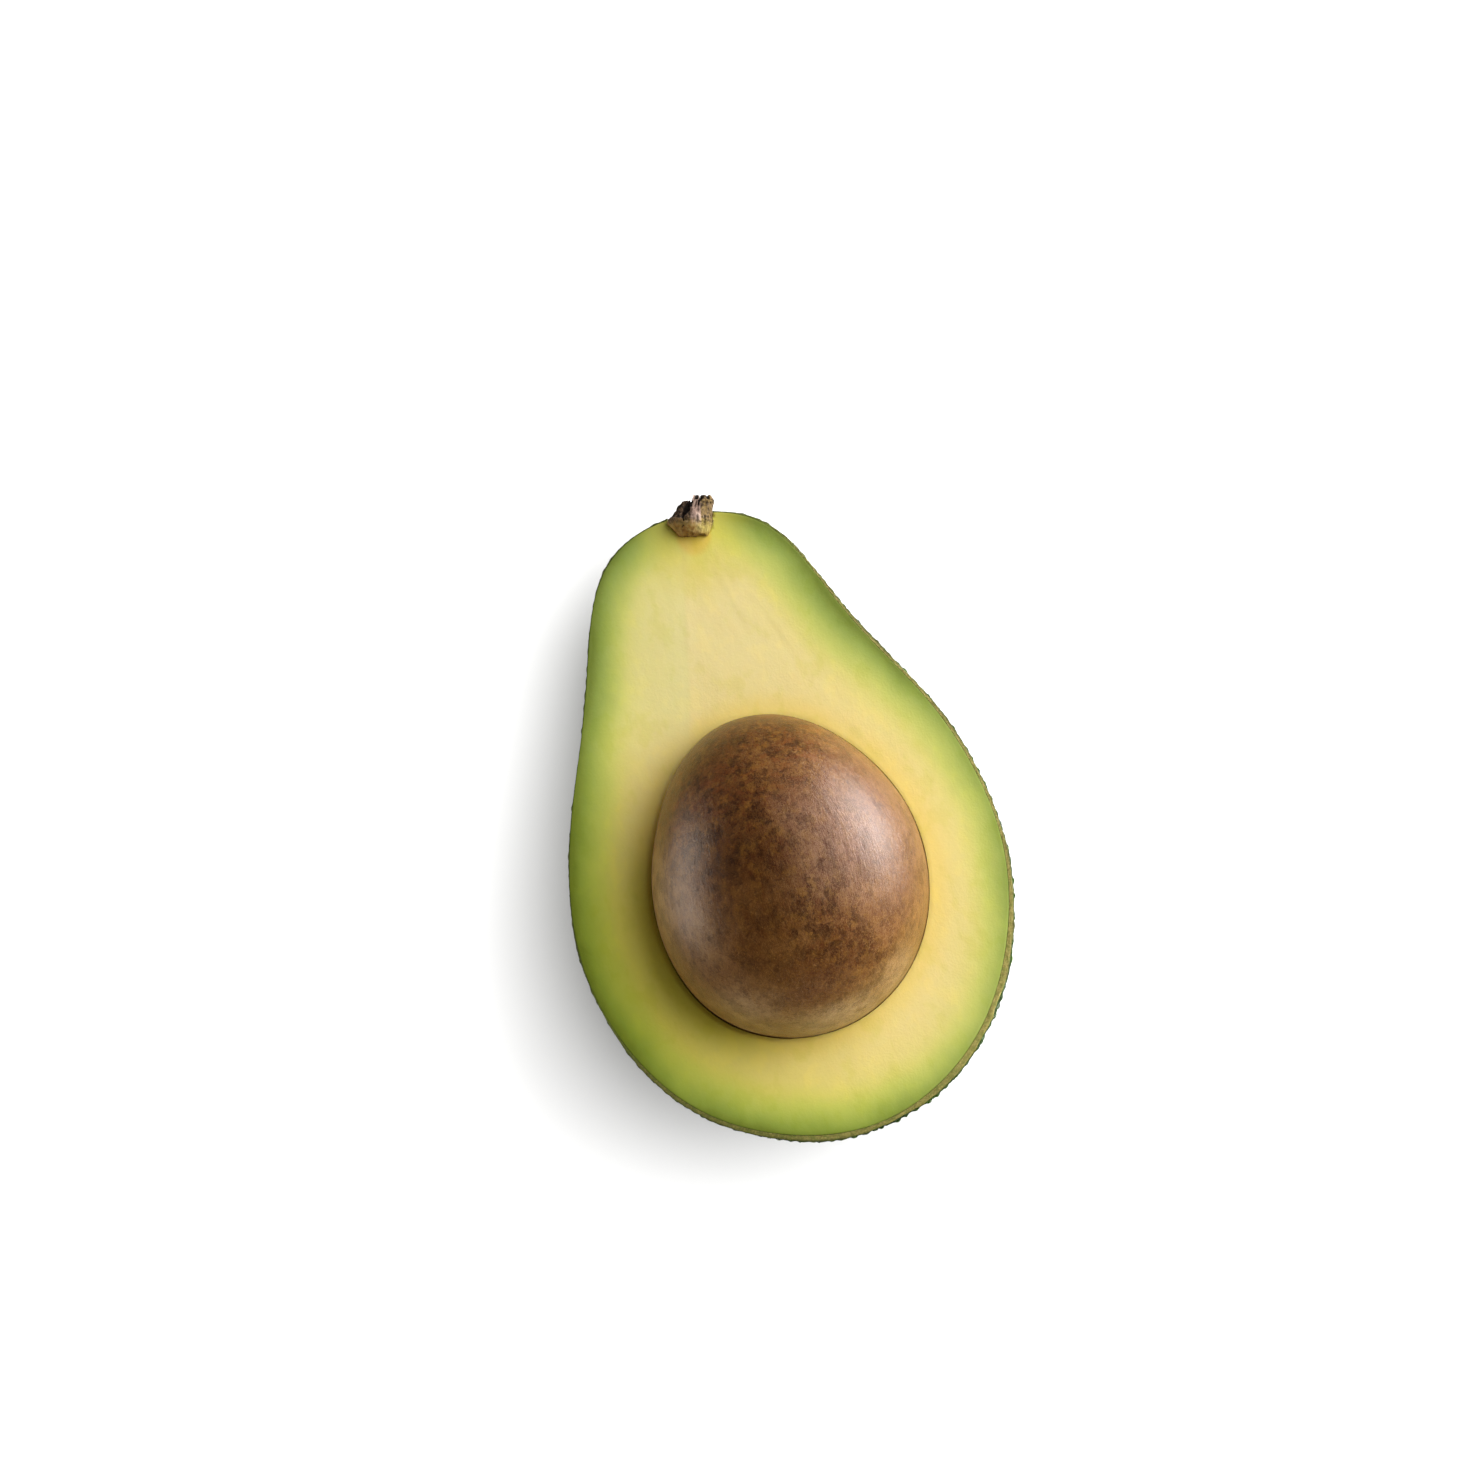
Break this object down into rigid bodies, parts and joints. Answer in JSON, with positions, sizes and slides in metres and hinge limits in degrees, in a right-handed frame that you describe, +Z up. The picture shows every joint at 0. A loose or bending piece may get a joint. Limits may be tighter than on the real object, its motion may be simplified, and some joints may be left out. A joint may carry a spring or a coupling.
{
  "type": "halved avocado",
  "caption": "Pear-shaped avocado half cut lengthwise, cut face up, with its whole brown seed in the hollow, thin pebbled green peel and a short stub of stem.",
  "frame": {"origin": "on the surface that the half lies on, under the middle of its bounding box", "axes": "+Y from the blossom end towards the stem end, +Z up out of the cut face, +X to the right of the cut face seen from above with the stem end away from the viewer"},
  "size_m": [0.0728, 0.108, 0.0572],
  "materials": {
    "skin": "pebbly dark green peel with pale yellow-green specks, waxy half gloss, rough olive at the cut rim",
    "flesh": "creamy pale yellow flesh turning green towards the peel, smooth moist cut face",
    "seed": "mottled brown papery seed coat with fine fibres and a soft sheen",
    "stem": "dry grey-brown splintered stem, ochre at its foot"
  },
  "bodies": {
    "root": {"skin": "skin", "flesh": "flesh", "seed": "seed", "stem_stub": "stem"}
  },
  "joints": []
}
